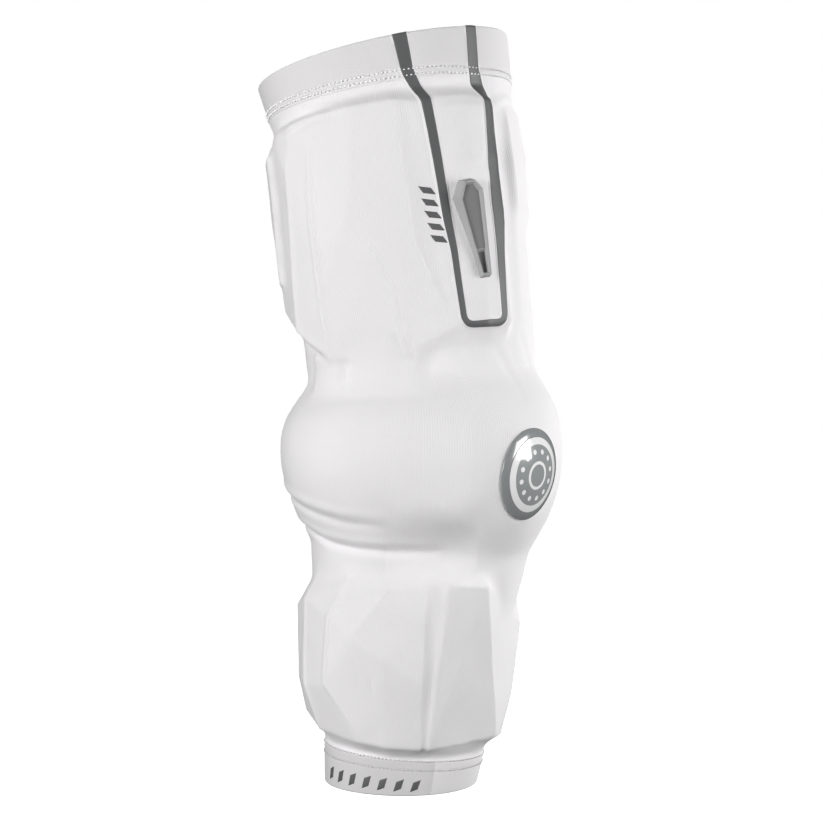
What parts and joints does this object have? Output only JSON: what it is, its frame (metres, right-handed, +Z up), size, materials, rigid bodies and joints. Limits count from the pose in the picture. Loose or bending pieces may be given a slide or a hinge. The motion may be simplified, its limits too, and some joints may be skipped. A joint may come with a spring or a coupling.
{
  "type": "lacrosse arm pad",
  "caption": "Knitted compression sleeve for the arm with foam pads under the knit, a domed elbow cap, elastic cuffs, a printed stripe, a pull tab and a round badge.",
  "frame": {"origin": "centre of the upper opening's rim, where the sleeve sits on the upper arm", "axes": "+Z up along the arm towards the shoulder, -Y out of the sleeve's outer face as the picture shows it, +X to that viewer's right"},
  "size_m": [0.1571, 0.1338, 0.386],
  "materials": {
    "knit": "white fine-ribbed stretch knit, matt",
    "elastic": "white smooth folded elastic knit, matt",
    "foam": "off-white knit-faced foam, matt",
    "print": "grey transfer print, satin",
    "rubber": "grey moulded rubber, satin",
    "badge_ring": "grey gloss ring",
    "badge_dome": "clear gloss dome over pale grey and white"
  },
  "bodies": {
    "root": {"sleeve": "knit", "upper_cuff": "elastic", "lower_cuff": "elastic", "upper_arm_pad": "foam", "strip_pad": "foam", "upper_rear_pad": "foam", "upper_front_pad": "foam", "forearm_pad": "foam", "forearm_side_pad": "foam", "elbow_cap": "foam", "side_stripe": "print", "pull_tab": "rubber", "badge_ring": "badge_ring", "badge_dome": "badge_dome"}
  },
  "joints": []
}
